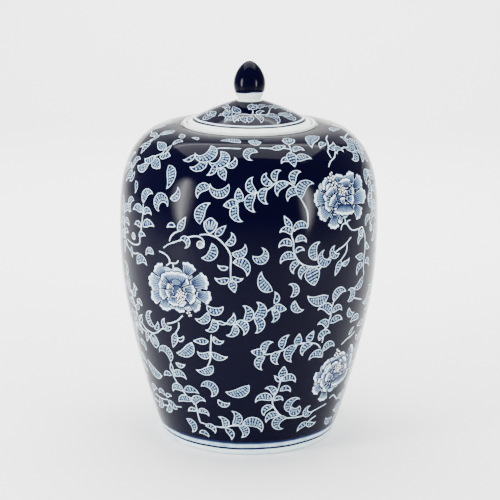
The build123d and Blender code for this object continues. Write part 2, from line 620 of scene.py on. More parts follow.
def fan(painting, points):
    """A leaf that opens from a narrow base to a broad rounded end."""
    base, corner, top, other_corner = painting.spots(points)
    unit = painting.unit(base[1])
    step = STEP * unit
    side = arc(base, corner, FAN_BOW, step)
    other_side = arc(other_corner, base, FAN_BOW, step)
    cap = smooth(np.array([corner, top, other_corner]), step)
    shape = np.vstack([side, cap[1:-1], other_side[:-1]])
    painting.area(shape, LINE)
    centre = shape.mean(axis=0)
    reach = np.linalg.norm(shape - centre, axis=1)[:, None]
    inner = centre + (shape - centre) * np.maximum(0.2, 1 - 1.25 * OUTLINE * unit / reach)
    painting.area(inner, LEAF_WASH)
    for share in FAN_RIBS:
        tip = corner + (other_corner - corner) * share
        tip = tip + (top - (corner + other_corner) / 2) * 0.2
        root = base + (tip - base) * FAN_RIB_START
        widths = [FAN_RIB_WIDTH * unit, CELL_WIDTH * unit]
        painting.area(ribbon(np.array([root, tip]), widths), RIB)


def disc(painting, degrees, up, radius, tone, offset=(0, 0)):
    """A round spot, with its middle offset in mm from the place given."""
    centre = painting.spot(degrees, up)
    unit = painting.unit(centre[1])
    centre = centre + np.array(offset) * unit
    count = max(8, int(TURN * radius))
    painting.area(centre + oval(1, 1, count) * radius * unit, tone)


def bud(painting, degrees, up, radius):
    """A round bud: white ring, blue wash and a pale eye with a dark middle."""
    disc(painting, degrees, up, radius, WHITE)
    disc(painting, degrees, up, radius - OUTLINE, DEEP)
    disc(painting, degrees, up, radius * 0.5, RIB, offset=(0.1 * radius, -0.1 * radius))
    disc(painting, degrees, up, radius * 0.2, DEEP)


OUTER_PETALS = 9             # petals of a flower that lie behind its ring of small ones
RING_PETALS = 9
PETAL_FULLNESS = 1.16        # petals are this many times as wide as their widths below
PETAL_SHOULDER = 0.66        # where a petal's rounded end begins, as a share of its length
PETAL_FOOT = 0.16            # half width at the base, as a share of the width
SCALLOP_LEAST = 0.87         # reach of the rounded end between two lobes
SCALLOP_RISE = 0.22          # how much further a lobe reaches
PETAL_LINE = 1.0             # mm, dark line round a petal
PETAL_EDGE = 0.7             # mm, pale edge round the wash
PETAL_TIP_EDGE = 1.5         # mm by which the wash also stops short of the tip
WASH_REACH = 0.9             # where the wash is palest, as a share of the petal's length
PETAL_LINE_PITCH = 2.1       # mm between the fine lines at the tip
PETAL_LINE_WIDTHS = (0.95, 0.4)
LOBE_POINTS = 6


def petal(painting, centre, unit, base, tip, width, lobes):
    """One petal: scalloped white edge, blue wash that deepens to the base and fine blue lines."""
    base, tip = np.array(base, float), np.array(tip, float)
    axis = tip - base
    length = np.linalg.norm(axis)
    along = axis / length
    side = left_of(along)
    width = width * PETAL_FULLNESS

    def outline(grow, ahead_share=1.0):
        turn = np.linspace(-math.pi / 2, math.pi / 2, lobes * LOBE_POINTS + 1)
        wave = np.abs(np.cos(turn * lobes + (lobes % 2 - 1) * math.pi / 2))
        bump = SCALLOP_LEAST + SCALLOP_RISE * wave
        across = np.sin(turn) * (width / 2) * bump + grow * np.sin(turn)
        ahead = length * PETAL_SHOULDER
        ahead = ahead + np.cos(turn) * length * (1 - PETAL_SHOULDER) * bump + grow * np.cos(turn)
        foot = width * PETAL_FOOT + grow
        bow = np.array([-foot, -foot * 1.25 - 0.1 * width])
        left = np.stack([bow, [-grow, 0.3 * length]], axis=1)
        right = np.stack([-bow[::-1], [0.3 * length, -grow]], axis=1)
        local = np.vstack([left, np.stack([across, ahead], axis=1), right]) * (1, ahead_share)
        return centre + (base - local[:, :1] * side + local[:, 1:] * along) * unit

    painting.area(outline(PETAL_LINE), PETAL_RIM)
    painting.area(outline(0.0), PETAL_WHITE)
    start = centre + base * unit
    end = centre + tip * unit
    washed = outline(-PETAL_EDGE, 1 - PETAL_TIP_EDGE / max(length, 6))
    painting.area(washed, PETAL_WASH, PETAL_PALE, start, start + (end - start) * WASH_REACH)
    lines = max(2, int(width / PETAL_LINE_PITCH))
    for k in range(lines):
        spread = (k + 0.5) / lines - 0.5
        aside = side * spread * width
        root = start + (along * 0.08 * length + aside * 0.35) * unit
        reach = 0.80 - 0.6 * spread**2
        point = start + (along * reach * length + aside * 0.86) * unit
        bend = (root + point) / 2 + aside * 0.1 * unit
        line = smooth(np.array([root, bend, point]), 2.5 * unit)
        painting.area(ribbon(line, np.linspace(*PETAL_LINE_WIDTHS, len(line)) * unit), PETAL_LINES)


def petal_ring(painting, centre, unit, half_width, half_height):
    """A ring of smaller petals between the outer petals and the heart."""
    for k in range(RING_PETALS):
        turn = TURN * (k + 0.3) / RING_PETALS
        reach = 0.66 + 0.08 * (k % 2)
        way = np.array([math.cos(turn) * half_width, math.sin(turn) * half_height])
        petal(painting, centre, unit, way * 0.3, way * reach, 0.34 * half_height + 1.2 * (k % 2), 3)


ROSETTE_LOBES = 13
ROSETTE_LINES = 4 * ROSETTE_LOBES


def rosette(painting, centre, unit, half_width, half_height):
    """The back petals, which fill the gaps between the others: a scalloped oval with fine lines."""
    count = ROSETTE_LOBES * LOBE_POINTS
    turn = TURN * np.arange(count) / count
    reach = 0.88 + 0.12 * np.abs(np.cos(turn * ROSETTE_LOBES / 2))
    edge = oval(half_width, half_height, count)
    painting.area(centre + edge * reach[:, None] * 1.03 * unit, OUTLINE_BLUE)
    painting.area(centre + edge * reach[:, None] * unit, RIB)
    painting.area(centre + edge * 0.8 * unit, PETAL_WASH)
    for k in range(ROSETTE_LINES):
        angle = TURN * (k + 0.5) / ROSETTE_LINES
        spoke = np.array([math.cos(angle) * half_width, math.sin(angle) * half_height])
        line = np.array([centre + spoke * t * unit for t in (0.5, 0.8 + 0.06 * (k % 2))])
        painting.area(ribbon(line, np.array([0.9, 0.5]) * unit), OUTLINE_BLUE)


SPIRAL_TURN = 2.4            # radians from one dot of a cluster to the next
STAMEN_RADII = (0.65, 0.95)  # mm, smallest and largest dot
STAMEN_RING = 0.55           # mm of blue round a dot


def stamens(painting, centre, unit, spots, chance):
    """Clusters of white dots ringed with blue, each dot on a spiral."""
    for x, y, half_width, half_height, count in spots:
        for k in range(count):
            reach = math.sqrt((k + 0.5) / count)
            turn = SPIRAL_TURN * k
            size = chance.uniform(*STAMEN_RADII)
            middle = centre + np.array([x + half_width * reach * math.cos(turn),
                                        y + half_height * reach * math.sin(turn)]) * unit
            for radius, tone in ((size + STAMEN_RING, OUTLINE_BLUE), (size, WHITE)):
                painting.area(middle + oval(1, 1, 8) * radius * unit, tone)


# Each flower in mm about its own middle: its petals from the back to the front as
# (base x, base y, tip x, tip y, width, lobes), the half width and half height that its back petals
# spread over, the dark wash of its heart as (x, y, half width, half height), and its stamens as
# clusters of (x, y, half width, half height, how many).
ROUND_PEONY = {
    "petals": [
        (-11, 9, -18.7, 17.7, 11, 4), (-10.3, -5, -26.7, -12.3, 10, 3), (-6, 3, -28.9, 2.3, 12.5, 4),
        (-11, -8.3, -12, -20, 10, 4), (4.2, -10.3, 3.5, -19, 8, 3), (14.4, -9, 21.7, -14.3, 7.5, 3),
        (20, -1, 32.2, -3.7, 10, 3), (10.8, 13.7, 15.1, 23.7, 10.5, 4), (15.1, 7, 29.7, 11.7, 12, 4),
        (1.3, 4, 0.6, 15, 21, 6), (8.6, 1.7, 18.8, 2.3, 7, 3), (10, -2.3, 18, -7, 8.5, 3),
        (-1.6, 0.3, -8, 1.9, 5, 2), (-2.4, -2, -8, -6.6, 8, 3), (-1.6, -6, -2.6, -14, 9, 3),
    ],
    "spread": (26, 19), "wash": (1.5, 6.6, 5.4, 3.0),
    "stamens": [(12.3, -18, 2.2, 4.6, 7), (5.0, -5.4, 4.6, 6.8, 22)],
}
OPEN_PEONY = {
    "petals": [
        (-8, 8.7, -16.5, 13.3, 9.5, 3), (-14, 0, -26.8, 2, 11, 4), (-10.1, -7.3, -23.2, -13.3, 11, 4),
        (-7.3, -13.3, -9.8, -24.7, 9.5, 4), (-0.2, -15.3, -3, -21.3, 4, 2), (15.4, -10, 24.6, -20, 10, 4),
        (16.8, 4.7, 32.4, 9.3, 10, 4), (9.7, -5.3, 35.2, -4, 11, 4), (16.8, 7.3, 17.5, 18, 9, 3),
        (1.2, 10.7, 3, 18, 8, 2), (8.3, 5, 8.6, 13.3, 11, 4), (-4.5, 2.7, -6.6, 8.7, 6, 2),
        (-8.7, 1.3, -12.2, 7, 8.5, 2), (-5.2, -6, -10.8, -0.7, 9.5, 3), (11.1, 2, 17.5, 2, 5.5, 2),
        (4.7, -6.3, 3.3, -15.6, 20, 6), (1.9, -6, 1.9, -1.3, 5, 3),
    ],
    "spread": (27, 18.5), "wash": (4.7, -6.4, 2.6, 1.6),
    "stamens": [(-5.9, 14.6, 4.6, 6.6, 13), (2.8, 4.2, 4.4, 5.0, 15), (4.7, -6.4, 0.1, 0.1, 1)],
}
SIDE_PEONY = {
    "petals": [
        (-12.9, 3, -22.7, 1.7, 8.5, 3), (-6.4, 8.3, -14, 13.7, 8, 3), (5.4, 11.7, 7.2, 19, 8, 3),
        (16.1, 13, 23.8, 19, 10, 4), (18.5, 5, 28, 7.7, 10, 4), (-11.1, -6.3, -20.6, -13, 9, 4),
        (-10, -3.7, -17.6, -1.7, 4, 2), (-5.8, -13.7, -7, -24.7, 10, 4), (17.3, -3, 25.6, -8.3, 9, 4),
        (-2.8, 3, -9.4, 7.7, 7.5, 3), (9, 5.7, 13.7, 12.3, 8, 3), (12.5, 0.3, 19, 3.7, 6, 3),
        (-1.7, -8.3, -8.2, -14.3, 6, 3), (11.4, -3.3, 12, -13, 17, 6), (0, -3, -8.8, -0.3, 7, 4),
    ],
    "spread": (22, 18), "wash": (6.5, -3.4, 4.4, 2.2),
    "stamens": [(-1, 19.0, 3.2, 5.0, 9), (5.0, 4.6, 4.4, 4.6, 14)],
}


def peony(painting, flower, degrees, up, chance):
    """A whole flower: back petals, petals, the dark wash of its heart and its stamens."""
    centre = painting.spot(degrees, up)
    unit = painting.unit(centre[1])
    rosette(painting, centre, unit, *flower["spread"])
    for number, (base_x, base_y, tip_x, tip_y, width, lobes) in enumerate(flower["petals"]):
        if number == OUTER_PETALS:
            petal_ring(painting, centre, unit, *flower["spread"])
        petal(painting, centre, unit, (base_x, base_y), (tip_x, tip_y), width, lobes)
    x, y, half_width, half_height = flower["wash"]
    middle = np.array([x, y])
    ring = oval(half_width, half_height, 24) + middle
    painting.area(centre + ring * unit, OUTLINE_BLUE)
    painting.area(centre + (middle + (ring - middle) * 0.78) * unit, HEART)
    stamens(painting, centre, unit, flower["stamens"], chance)


# ---------------------------------------------------------------- the scroll on the jar

# Leaves: (form, degrees, mm up) to (degrees, mm up), then a deeper bow where the leaf is rounder.
LEAVES = [
    # upper left of the centre
    ("C", -22.3, 232, -16.8, 241), ("F", -8.9, 245.3, -17.3, 244.8, 0.76),
    ("M", -20.7, 212, -16.3, 229.5), ("L", -14, 203.4, -9.3, 212.6), ("C", -7.4, 207.2, -9.7, 197.5),
    ("L", -31, 203.8, -27.3, 216.8), ("M", -36.8, 205.3, -32.2, 207.5), ("F", -30, 197.5, -27.8, 191),
    ("C", -15.5, 197.6, -20, 185), ("M", -8.4, 178.8, -13, 180.3), ("M", -8, 169.5, -14.3, 169.5),
    ("C", -1.5, 198, -7, 190.5), ("C", -6.5, 182.5, -0.8, 171.5), ("M", -2, 170, -7, 171),
    ("W", -7.2, 168, -5.6, 157.6), ("W", -4, 231, -4.6, 242.3), ("W", -4.5, 230.5, -10.9, 228),
    ("C", -2.3, 216, -4.5, 229),
    # top of the centre
    ("C", 2.8, 223.3, 3, 237.5), ("C", 3.5, 239, 2, 251.3), ("C", 8.2, 229.5, 8, 242),
    ("C", 10.5, 246, 8.3, 254.5, 0.8), ("C", 12.3, 247, 15.2, 255.8), ("C", 12.5, 235.3, 17.5, 244),
    ("C", 16.7, 230.7, 23, 237), ("C", 20.5, 244, 24.8, 253.6), ("C", 23, 232, 30, 243),
    ("F", 5.3, 195, 1.7, 188.5, 1.2), ("M", 10.3, 159, 5.5, 175.5),
    # hanging sprig right of the centre
    ("L", 18, 209, 14.8, 220), ("C", 12.8, 206.3, 18.2, 204), ("C", 19, 206.5, 25.3, 208.3),
    ("C", 12.5, 194, 18.3, 195), ("C", 19.8, 198, 24.8, 196.8), ("C", 20, 189, 24, 190),
    ("C", 13.4, 181, 19.8, 184.5), ("C", 19.3, 172, 22, 181), ("C", 22.8, 167, 26.5, 176),
    ("C", 30, 181.5, 31.5, 196), ("F", 37.3, 180.5, 33.8, 189), ("F", 42, 184, 39.5, 191),
    ("L", 43, 178, 39.8, 165.3), ("M", 48.5, 178, 43.5, 174.5), ("W", 27.2, 175.5, 29.2, 160.5, 0.42),
    # right edge, below the open peony
    ("L", 52.7, 177, 60, 174), ("C", 55, 160, 59.5, 167), ("C", 55, 186, 59, 192),
    ("C", 61.5, 199, 66, 205), ("M", 66, 180, 61.8, 186), ("C", 61.5, 168, 66, 163),
    # across the middle
    ("C", -10.7, 145.7, -18, 145.7), ("C", -17.8, 139.5, -23.8, 133), ("C", -15.5, 134, -19.3, 123.5),
    ("M", -6.3, 140.5, -9.5, 130.5), ("C", -6.2, 130, -9.8, 120.5), ("L", -14, 132, -9.5, 130),
    ("C", -5.5, 132.5, -2.2, 120.8), ("C", -2.5, 147, -2, 133), ("C", 3.4, 150, 2, 136.5, 0.75),
    ("C", 2.3, 136.5, 3, 122.6), ("M", 11, 158.5, 11, 148), ("W", 10.5, 145, 16.7, 142.5),
    ("C", 10, 143, 10, 132), ("F", 17, 163.5, 18, 153, 0.8), ("C", 24.8, 141, 20.3, 149.5),
    ("M", 36.8, 149.7, 25.9, 152.5),
    # sprig under it
    ("C", -10.7, 115.3, -15.5, 118.5), ("L", -18, 113.5, -25.7, 112), ("C", -17.8, 104, -24.2, 103.4),
    ("M", -9.3, 100.7, -17, 104), ("M", -16.8, 91, -26, 85.3), ("M", -26.5, 110.7, -36, 98),
    ("M", -31.7, 88.5, -37.5, 88), ("L", -34.5, 116.5, -37.5, 102), ("M", -30.4, 115.3, -34.8, 111),
    # sprig right of the centre, lower
    ("W", 8, 104, 1.3, 106.3), ("C", 8, 104.5, 11.5, 114), ("C", 7, 88.5, 8, 101),
    ("C", 14.6, 93, 15, 105), ("M", 16, 107, 18.8, 119.8), ("C", 21.2, 94, 23, 109),
    ("W", 23, 109, 23.5, 120), ("C", 26.5, 98.5, 31, 108), ("C", 30.2, 93.4, 38, 93.6),
    ("C", 38, 99, 45, 101), ("C", 34.5, 110, 40.6, 115), ("C", 32.3, 125, 38, 120),
    ("M", 39.8, 124, 47.5, 124.3), ("C", 31.6, 138.3, 38.5, 132), ("C", 40.3, 133, 46.2, 133),
    ("C", 40.4, 143, 47.6, 149), ("F", 48.7, 149.5, 49.5, 139.8), ("C", 56.4, 127.5, 51.5, 133.5),
    ("M", 60.6, 157, 53, 150), ("M", 54.3, 118.5, 62, 119), ("L", 55.2, 107, 59, 113.4),
    ("W", 28, 111, 30.8, 120.5),
    # low on the wall
    ("F", -24.3, 69.5, -19.5, 60.7), ("C", -9.3, 56.5, -15.5, 59), ("M", 0.7, 74.5, -11.3, 67),
    ("W", 17, 79, 17.5, 91), ("L", 16.3, 76, 12.8, 83), ("C", 17, 76.5, 24.3, 73.8),
    ("C", 8.4, 70.5, 13.2, 63.5), ("C", 16.5, 67, 22.3, 65), ("C", 4, 57, 12.5, 58.5),
    ("C", 13.8, 58, 18.8, 57.3), ("C", 9.2, 43.4, 13.8, 52), ("C", 10.5, 36.5, 17.5, 42.5),
    ("F", 21.3, 29, 22.5, 39, 1.2), ("F", 24.5, 45, 28.8, 56.5, 0.8), ("C", 29, 50, 24.7, 50, 1.5),
    ("F", 39, 40.5, 36.8, 47.5, 1.2), ("M", 30.8, 23, 38, 29.5), ("M", 44.3, 28.5, 36.5, 31),
    ("C", 62, 25.5, 54, 28.5),
    # low on the left
    ("M", -34.9, 61.5, -25.9, 61.8), ("M", -40.5, 49, -31, 53), ("C", -30, 50, -22.6, 55),
    ("M", -35, 41.5, -29, 44), ("C", -28, 43, -21.8, 40.5), ("C", -37.6, 33.3, -35.5, 20.3),
    ("C", -30, 21, -24, 15.5), ("C", -25, 30, -19.5, 23.5), ("C", -16.5, 41.5, -14, 30.5),
    ("M", -13, 30, -9.7, 16.8), ("C", -8.8, 48.4, -8.5, 34.5), ("C", -5, 34, -3.8, 21.3),
    ("C", -3, 35, 8, 27), ("M", -50, 70, -62, 80), ("M", -48, 71, -42, 74), ("L", -41, 77, -40.8, 87),
    ("C", -40, 74, -32.4, 73.5), ("C", -43.3, 58, -35.5, 61), ("C", -57.5, 50, -51.5, 50),
    ("M", -50.5, 49, -45.4, 52), ("W", -50, 46, -43.3, 40.3), ("M", -49, 44, -55, 34.5),
    ("C", -65.5, 47, -59, 52), ("M", -58, 46, -64, 34),
    # left of the round peony
    ("F", -48, 117, -48.3, 130, 0.8), ("M", -45.3, 123, -48.5, 115), ("F", -36.8, 121.5, -40.2, 127.5),
    ("L", -54.5, 110, -57.3, 99), ("M", -60.3, 104, -60, 116), ("F", -48, 93.3, -41, 87.3, 0.9),
    ("C", -60.5, 133, -56, 131.5), ("C", -66, 95, -61, 88), ("M", -58.5, 145, -61.5, 150),
    ("M", -63, 128, -66, 136),
    # left edge, higher
    ("C", -52, 220.5, -46.2, 230), ("M", -60.2, 212.2, -52.5, 213), ("C", -51.5, 211.5, -46, 212.6),
    ("M", -58.5, 200.5, -53, 200.5), ("M", -51.5, 201.5, -44, 203.8), ("M", -54.8, 192, -49.7, 194),
    ("C", -49.5, 178, -44.4, 181), ("C", -56.7, 168, -49.2, 169.5), ("L", -62, 181, -61, 171.8),
    ("F", -62, 209.7, -60, 219.8, 0.9), ("M", -61.5, 236, -60, 226), ("M", -65, 243, -68, 234),
    ("M", -55, 254, -64.2, 248.6), ("M", -41, 255.5, -38.8, 236),
    ("F", -41.5, 217.2, -36.9, 222.2, 1.4), ("C", -33, 239.5, -36, 229.5),
    # over the shoulder, left and centre
    ("F", -15.3, 273.3, -20, 263), ("M", -16.5, 261, -19.7, 251), ("W", -13.5, 258, -10.6, 247.8),
    ("C", -7.4, 268.3, -11, 260), ("C", -22.5, 266, -29, 256.8), ("M", -28.5, 268, -34, 262),
    ("F", -22, 279, -29, 270), ("M", -18, 287, -5, 285), ("F", 1.8, 265.2, 4.5, 273, 1.2),
    ("L", -59.6, 273, -48.5, 268.5), ("W", -50, 263, -42.5, 263.5), ("L", -48, 263, -46.5, 274),
    ("M", -52.5, 261, -60.5, 256), ("W", -53, 257, -45.6, 251.5), ("L", -52, 291, -44, 284),
    ("C", -46, 274, -41, 279), ("M", -39, 287, -33, 285), ("M", -61, 290, -66, 284),
    ("M", -66, 280, -69, 272),
    # over the shoulder, right
    ("L", 12, 276.5, 21, 279), ("C", 24, 272, 30.5, 272), ("C", 15.7, 261.3, 21, 263),
    ("W", 21.5, 272, 22, 258), ("M", 23.5, 263, 32.5, 263.5), ("M", 36, 273.8, 50, 287),
    ("M", 41, 272, 48, 276), ("M", 54, 276.5, 46.5, 271.5), ("F", 50, 264, 56, 264, 0.8),
]

# Leaves that open like a fan: base, one corner, top, other corner, each (degrees, mm up).
FANS = [
    ((-16.5, 204.5), (-13, 214), (-16, 218), (-19, 214)),
    ((-50.5, 110), (-53.5, 101), (-50, 96.3), (-47, 100.5)),
    ((4, 281), (7.3, 286.7), (3.2, 291), (-0.6, 288.6)),
    ((23.2, 280.5), (29.8, 288), (24.8, 293), (21, 287.5)),
]

# Round buds: (degrees, mm up, radius in mm).
BUDS = [
    (-20.5, 195.5, 3), (57, 196.5, 4), (-59.5, 190.5, 3),
]

# Stems, each a list of (degrees, mm up).
STEMS = [
    [(-20.7, 203.4), (-17.2, 204.2), (-13, 201.8), (-9.3, 195), (-7.4, 188), (-7.4, 179), (-7.4, 166)],
    [(-38.5, 188.5), (-36, 192), (-33, 194.5), (-30, 197), (-25, 201), (-21.3, 202), (-19, 199),
     (-19, 194), (-21, 192.5)],
    [(-35.3, 195), (-34.5, 199), (-32.5, 202.5), (-31, 203.8)],
    [(-41, 184.7), (-38.5, 184), (-36, 181.5), (-35.2, 177), (-37, 174.5)],
    [(-35.2, 177), (-32, 177.5), (-30.8, 180)],
    [(-33.5, 177), (-33.3, 170.5)],
    [(-3, 232), (3.8, 238.8), (8, 241), (12, 246), (16, 247), (20, 243), (22.5, 239)],
    [(22, 235), (25.3, 222), (25.5, 209.5)],
    [(18.3, 210), (18, 204), (19, 198), (19, 192), (20, 186), (22, 181), (25, 177.5), (30, 176),
     (33.5, 178)],
    [(30.5, 172), (33, 177)],
    [(33.5, 178), (37.5, 183), (41.5, 187), (44, 188.5), (46.5, 191), (49.3, 194.5)],
    [(46.8, 190), (46.3, 184), (44.5, 180), (42.5, 177)],
    [(45, 215), (45.5, 209), (46.5, 206.5)],
    [(42.8, 203), (43.2, 206), (44.8, 207.5), (46.5, 206.5), (48, 203), (50, 200.3), (53.5, 199.5),
     (58, 200)],
    [(46.5, 206.5), (47, 208.8), (48.8, 209)],
    [(58, 200), (60.5, 192), (61, 180), (60.2, 168), (61.5, 157)],
    [(-15.5, 133), (-10, 131), (-5, 130.5), (-2, 133), (2, 136.5), (5, 139), (8, 141.5), (10.5, 145)],
    [(-16.5, 119.5), (-17.3, 107), (-17.8, 97), (-19.5, 90)],
    [(-30, 133.4), (-33, 128), (-37, 124.5), (-39, 123.5)],
    [(-32.4, 126.5), (-32.6, 122), (-35, 115.7)],
    [(8, 103), (11, 103.5), (15, 105.5), (18, 107), (22, 109.5), (25, 110.5), (28, 110), (33, 108),
     (36, 103)],
    [(36.5, 108), (37, 120), (38.3, 126), (39.5, 131), (39, 136), (40, 142), (40.5, 146)],
    [(54, 141), (58, 138.5), (62, 136)],
    [(50.5, 100.3), (54, 103.5), (58, 105), (61, 107.5)],
    [(16.8, 80), (16, 74), (15.3, 68), (13.5, 62), (13, 57), (14, 52), (16.5, 46), (19, 42), (22, 39.5),
     (25, 39), (31, 38.5), (39.3, 41), (43.9, 42.6), (49.3, 44.2)],
    [(37.5, 31), (40, 33.5), (42.5, 35)],
    [(51.4, 48.8), (54.8, 50.3), (58.5, 45.7), (61.8, 43.4)],
    [(-28, 33), (-22, 31.5), (-17, 31), (-12, 31.5), (-9, 33.5), (-4, 34), (-2, 35)],
    [(-29.5, 56), (-29, 50), (-28.5, 38), (-28, 33)],
    [(-41, 78), (-40.5, 73), (-38.5, 67), (-35.5, 61), (-34, 57), (-30, 56)],
    [(-64, 46), (-56, 45), (-50, 47)],
    [(-41, 118), (-43, 117), (-46.5, 112.5), (-49.5, 110.3), (-53, 110.2), (-56.5, 112), (-59, 116),
     (-60.3, 119), (-59.5, 121.5), (-57, 123.3)],
    [(-52, 220), (-52, 212), (-52.3, 206), (-53, 198), (-54, 192), (-54.5, 186), (-60, 183.5),
     (-66, 185)],
    [(-14, 261), (-11, 260)],
    [(-19.3, 275.3), (-14.7, 277), (-4.7, 277)],
    [(6, 278), (13, 277), (20, 276.5), (23, 274.5)],
    [(23.2, 281), (23, 276), (22.5, 271)],
    [(44.3, 262), (44.3, 268), (46, 270), (49.3, 276), (51.8, 281.3), (57.3, 285)],
    [(40.4, 255), (42.7, 259), (46.8, 262), (49.3, 266), (53, 267.5), (57.7, 268.2), (61.8, 267.5)],
    [(-47.5, 265), (-52, 261), (-54.5, 255), (-56, 250)],
]

# Sprigs with leaves all along, where the front scroll turns to the sides.
SPRIGS = [
    [(-60, 106), (-62, 118), (-64, 131), (-67, 145)],
    [(70, 244), (71, 232), (70, 220), (68, 208)],
    [(70, 70), (72, 56), (70, 40), (68, 26)],
]

# Peonies: (flower, degrees, mm up).
PEONIES = [(ROUND_PEONY, -33, 155), (OPEN_PEONY, 43.5, 230), (SIDE_PEONY, 49, 73)]

# The front scroll comes again at the back, and its middle fills each side:
# (turn in degrees, how far from the middle of the front a motif may be).
REPEATS = [(180, 180), (88, 26), (-89, 24), (0, 180)]
SIDE_PEONIES = [(OPEN_PEONY, 92, 118), (ROUND_PEONY, -92, 112)]


def paint_scroll(painting):
    """The whole scroll: the repeats from the back to the front, the sprigs and the side flowers."""
    chance = random.Random(7)
    for turn, reach in REPEATS:
        for stem in STEMS:
            if abs(sum(p[0] for p in stem) / len(stem)) <= reach:
                stroke(painting, [(degrees + turn, up) for degrees, up in stem])
        for kind, degrees, up, end_degrees, end_up, *rise in LEAVES:
            if abs(degrees + end_degrees) / 2 <= reach:
                leaf(painting, kind, degrees + turn, up, end_degrees + turn, end_up, *rise)
        for corners in FANS:
            if abs(corners[0][0]) <= reach:
                fan(painting, [(degrees + turn, up) for degrees, up in corners])
        for degrees, up, radius in BUDS:
            if abs(degrees) <= reach:
                bud(painting, degrees + turn, up, radius)
        for flower, degrees, up in PEONIES:
            if abs(degrees) <= reach:
                peony(painting, flower, degrees + turn, up, chance)
    for turn in (180, 0):
        for points in SPRIGS:
            sprig(painting, [(degrees + turn, up) for degrees, up in points])
    for flower, degrees, up in SIDE_PEONIES:
        peony(painting, flower, degrees, up, chance)


# ---------------------------------------------------------------- the glazed pieces

# Bands at the foot: (mm up from the foot edge, depth of cobalt).
FOOT_BANDS = [
    (0.0, 0.10), (2.0, 0.08), (7.6, 0.06), (8.0, 0.10), (8.3, 0.92), (9.7, 0.90), (10.1, 0.35),
    (10.6, 0.14), (13.4, 0.14), (14.2, 0.45), (15.2, 0.78), (16.6, 0.88), (17.6, 1.0), (18.0, 1.0),
]


# How hand-drawn bands waver round the piece: (mm, waves round it, phase) of each wave.
FOOT_WAVES = [(0.18, 3, 0.6), (0.10, 11, 0.0), (0.05, 29, 2.0)]
LID_WAVES = [(0.09, 3, 3.6), (0.05, 11, 11.0), (0.025, 29, 31.0)]
FINIAL_WAVES = [(0.5, 1, -0.4), (0.35, 3, 1.0), (0.12, 7, 0.0)]


def banded(shell, start, bands, waves):
    """A strip from start whose cobalt follows (mm from the start, depth) bands."""
    reach = np.array([at for at, _ in bands])
    depth = [cobalt for _, cobalt in bands]
    wall_rows = shell.section.rows(start, start + reach[-1])
    rows = np.union1d(np.round(start + reach, 4), np.round(wall_rows, 4))
    rows = rows[np.concatenate([[True], np.diff(rows) > BAND_ROW_GAP])]
    rows[0], rows[-1] = start, start + reach[-1]
    shell.strip(rows, [(np.interp(s - start, reach, depth), 0.0) for s in rows], waves)
    return start + reach[-1]


def make_jar():
    """The body: foot, painted wall, rim bead, bare seat and the glazed inside."""
    section = Section(meridian("jar_body"))
    points = list(zip(section.at, section.points))
    foot = section.where(lambda r, z: z < NEAR and r > RIM_BEAD_RADIUS)
    foot_edge = max(s for s, (r, z) in points if z < NEAR)
    rim = section.where(lambda r, z: z > SEAT_HEIGHT and r < RIM_BEAD_RADIUS + NEAR)
    bead_end = section.where(lambda r, z: abs(z - SEAT_HEIGHT) < NEAR and r < RIM_BEAD_RADIUS - 1)
    seat_end = section.where(lambda r, z: abs(z - SEAT_HEIGHT) < NEAR and r < SEAT_INNER_RADIUS + 1.5)
    shell = Shell(section)
    shell.plain(0, foot, WHITE)
    shell.plain(foot, foot_edge, WHITE, clay=1.0)
    ground = banded(shell, foot_edge, FOOT_BANDS, FOOT_WAVES)
    painting = Painting(section, foot_edge, ground, rim)
    paint_scroll(painting)
    shell.field(painting)
    shell.plain(rim, bead_end, WHITE)
    shell.plain(bead_end, seat_end, WHITE, clay=1.0)
    shell.plain(seat_end, section.at[-1], WHITE)
    return shell.build("glazed_jar")


# Painting on the dome: leaves and stems by place on its plan, (x, y) in mm from the axis,
# seen from above with the front towards -y.
LID_LEAVES = [
    ("M", -19.5, -33, -8.5, -38.5), ("F", -25.5, -25.5, -20.5, -33), ("L", -13.5, -15, -7.5, -28),
    ("C", -10, -27, -18, -18), ("W", -5.5, -32.5, -3, -41), ("W", 1.5, -32.5, -0.5, -41),
    ("C", 1, -14, -1, -23), ("C", 0.5, -22.5, 7, -15.5), ("C", 8.5, -21.5, 15.5, -13),
    ("M", 4.5, -31, 9.5, -40.5), ("F", 13, -31, 22.5, -37.5, 0.8), ("L", -31.5, -10, -29, -23.5),
    ("M", 14.5, -29, 25, -28), ("C", -29.5, -22, -34, -12), ("C", -23, -11, -19, -19.5),
    ("C", 8, -30.5, 12.5, -24), ("L", 24, -24, 30, -15), ("M", -12, -39.5, -7.5, -33),
    ("C", 17.5, -16, 22.5, -10), ("C", -16, -20.5, -22, -22),
]
LID_STEMS = [
    [(-20.5, -36), (-13, -31.5), (-6, -30), (2, -31), (8, -30), (14, -28.5), (16.3, -23), (17, -17)],
    [(-13, -31.5), (-17, -27), (-24, -22)],
    [(2, -31), (3, -27), (2, -22)],
]
LID_REPEATS = (0, 122, -119)
LID_BRUSH = 0.6              # widths on the lid as a share of those on the jar
LID_TABLE_ROWS = 400

# Bands at the edge of the lid: (mm in from the outer edge of the flange, depth of cobalt).
LID_BANDS = [
    (0.0, 0.0), (4.8, 0.0), (5.1, 0.88), (6.7, 0.93), (7.0, 0.3), (7.3, 0.07), (8.4, 0.07), (8.8, 0.6),
    (9.1, 1.0), (9.6, 1.0),
]

# Edge of the finial's glaze: (mm up from its middle line, depth of cobalt).
FINIAL_BANDS = [(-2.5, WHITE), (-0.35, WHITE), (0.1, 0.75), (0.9, 0.9), (2.2, 1.0), (4.0, 1.0)]


